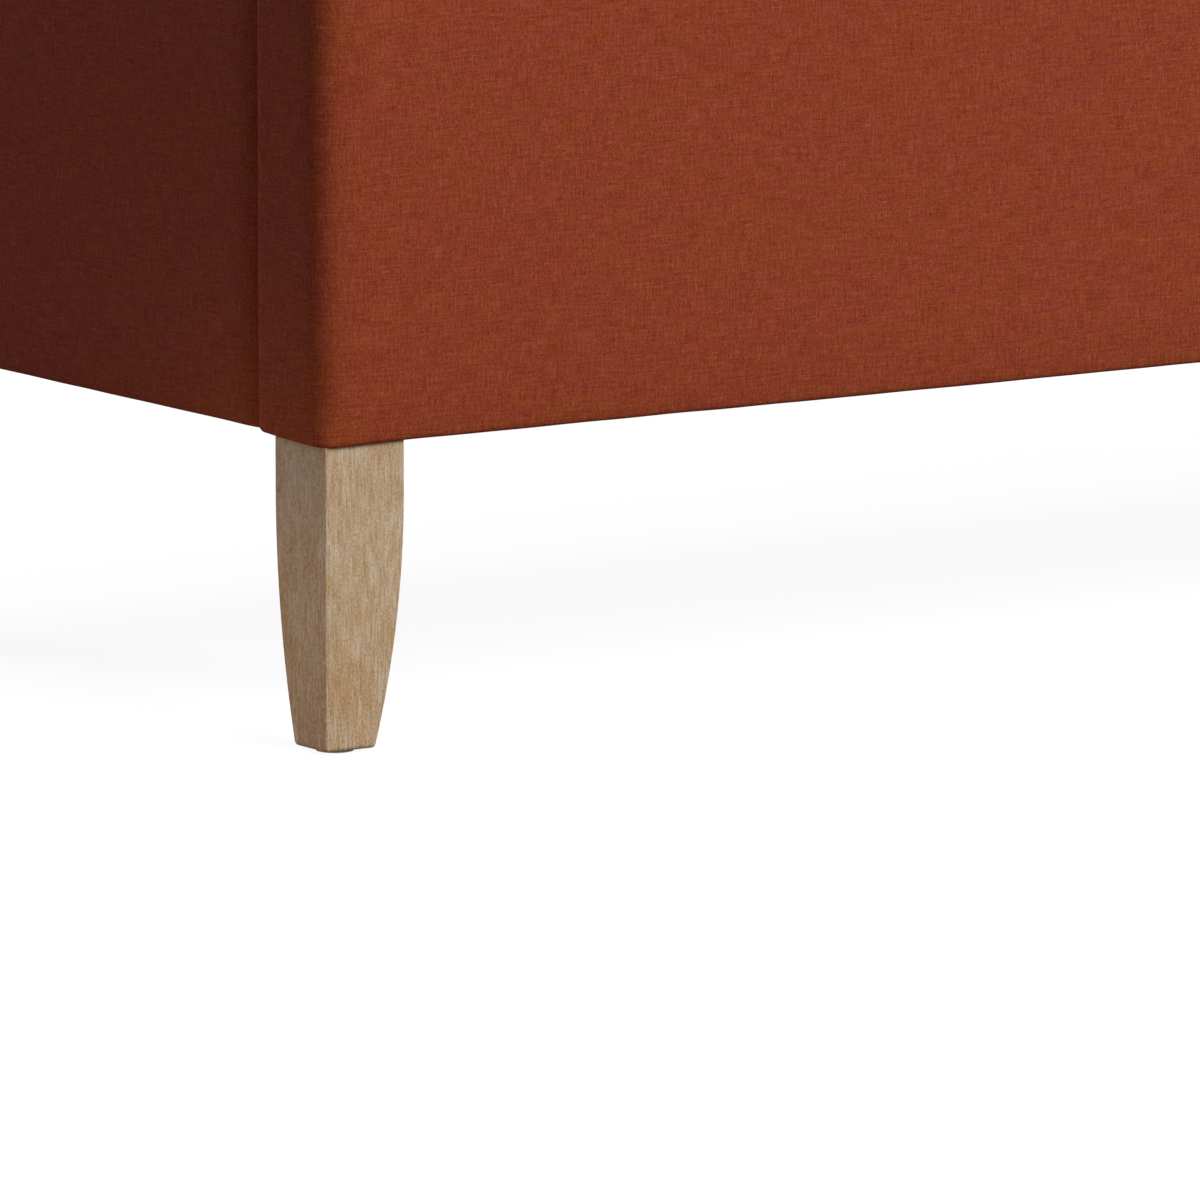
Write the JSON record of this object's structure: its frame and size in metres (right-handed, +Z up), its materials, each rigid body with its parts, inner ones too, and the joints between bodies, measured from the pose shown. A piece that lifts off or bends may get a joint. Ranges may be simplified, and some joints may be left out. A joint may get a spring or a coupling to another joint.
{
  "type": "storage ottoman",
  "caption": "Upholstered rectangular storage ottoman on tapered wooden legs, with a padded hinged lid held by slotted stays over a lined compartment.",
  "frame": {"origin": "on the floor, under the middle of the box's footprint", "axes": "+X along the length, to the right seen from the front; -Y is the front and +Y the hinge side; +Z up"},
  "size_m": [1.1, 0.4895, 0.46],
  "materials": {
    "rust_linen": "matte plain-weave linen-look upholstery cloth, slubby",
    "lining_cloth": "matte plain calico lining",
    "dust_cloth": "matte non-woven black bottoming cloth",
    "foam": "open-cell foam and polyester wadding, hidden",
    "frame_timber": "planed softwood, unfinished",
    "hardboard": "smooth hardboard, unfinished",
    "plywood": "birch plywood, unfinished",
    "leg_oak": "limed pale oak, matte oil",
    "zinc_steel": "zinc plated",
    "screw_steel": "zinc plated",
    "hinge_steel": "nickel plated, satin",
    "stay_steel": "zinc plated, satin",
    "nylon": "matte moulded nylon",
    "bumper_rubber": "matte soft rubber"
  },
  "bodies": {
    "box": {"front_rails": "frame_timber", "front_uprights": "frame_timber", "front_facing_board": "hardboard", "front_foam": "foam", "front_cover": "rust_linen", "front_lining": "lining_cloth", "back_rails": "frame_timber", "back_uprights": "frame_timber", "back_facing_board": "hardboard", "back_foam": "foam", "back_cover": "rust_linen", "back_lining": "lining_cloth", "left_rails": "frame_timber", "left_uprights": "frame_timber", "left_facing_board": "hardboard", "left_foam": "foam", "left_cover": "rust_linen", "left_lining": "lining_cloth", "right_rails": "frame_timber", "right_uprights": "frame_timber", "right_facing_board": "hardboard", "right_foam": "foam", "right_cover": "rust_linen", "right_lining": "lining_cloth", "base_battens": "frame_timber", "base_board": "plywood", "base_lining": "lining_cloth", "dust_cover": "dust_cloth", "front_left_leg": "leg_oak", "front_right_leg": "leg_oak", "back_left_leg": "leg_oak", "back_right_leg": "leg_oak", "leg_bolts": "zinc_steel", "leg_inserts": "zinc_steel", "leg_glides": "nylon", "corner_brackets": "zinc_steel", "corner_bracket_screws": "screw_steel", "hinge_left_box_leaf": "hinge_steel", "hinge_centre_box_leaf": "hinge_steel", "hinge_right_box_leaf": "hinge_steel", "hinge_pins": "hinge_steel", "hinge_box_screws": "screw_steel", "stay_box_brackets": "stay_steel", "stay_box_screws": "screw_steel", "lid_bumpers": "bumper_rubber"},
    "lid": {"hinge_left_lid_leaf": "hinge_steel", "hinge_centre_lid_leaf": "hinge_steel", "hinge_right_lid_leaf": "hinge_steel", "hinge_lid_screws": "screw_steel", "lid_board": "plywood", "lid_foam": "foam", "lid_cover": "rust_linen", "lid_lining": "lining_cloth", "stay_lid_brackets": "stay_steel", "stay_pivot_pins": "stay_steel", "stay_lid_screws": "screw_steel"},
    "left_stay": {"left_stay_arm": "stay_steel"},
    "right_stay": {"right_stay_arm": "stay_steel"}
  },
  "joints": [
    {"name": "lid_hinge", "type": "hinge", "parent": "box", "child": "lid", "pos_m": [0, 0.2455, 0.378], "axis": [-1, 0, 0], "range_deg": [0, 85]},
    {"name": "left_stay_pivot", "type": "hinge", "parent": "lid", "child": "left_stay", "pos_m": [-0.495, 0.13414, 0.366], "axis": [-1, 0, 0], "range_deg": [-42.5, 0]},
    {"name": "right_stay_pivot", "type": "hinge", "parent": "lid", "child": "right_stay", "pos_m": [0.495, 0.13414, 0.366], "axis": [-1, 0, 0], "range_deg": [-42.5, 0]}
  ],
  "couplings": [
    {"joint": "left_stay_pivot", "follows": "lid_hinge", "ratio": -0.5},
    {"joint": "right_stay_pivot", "follows": "lid_hinge", "ratio": -0.5}
  ]
}
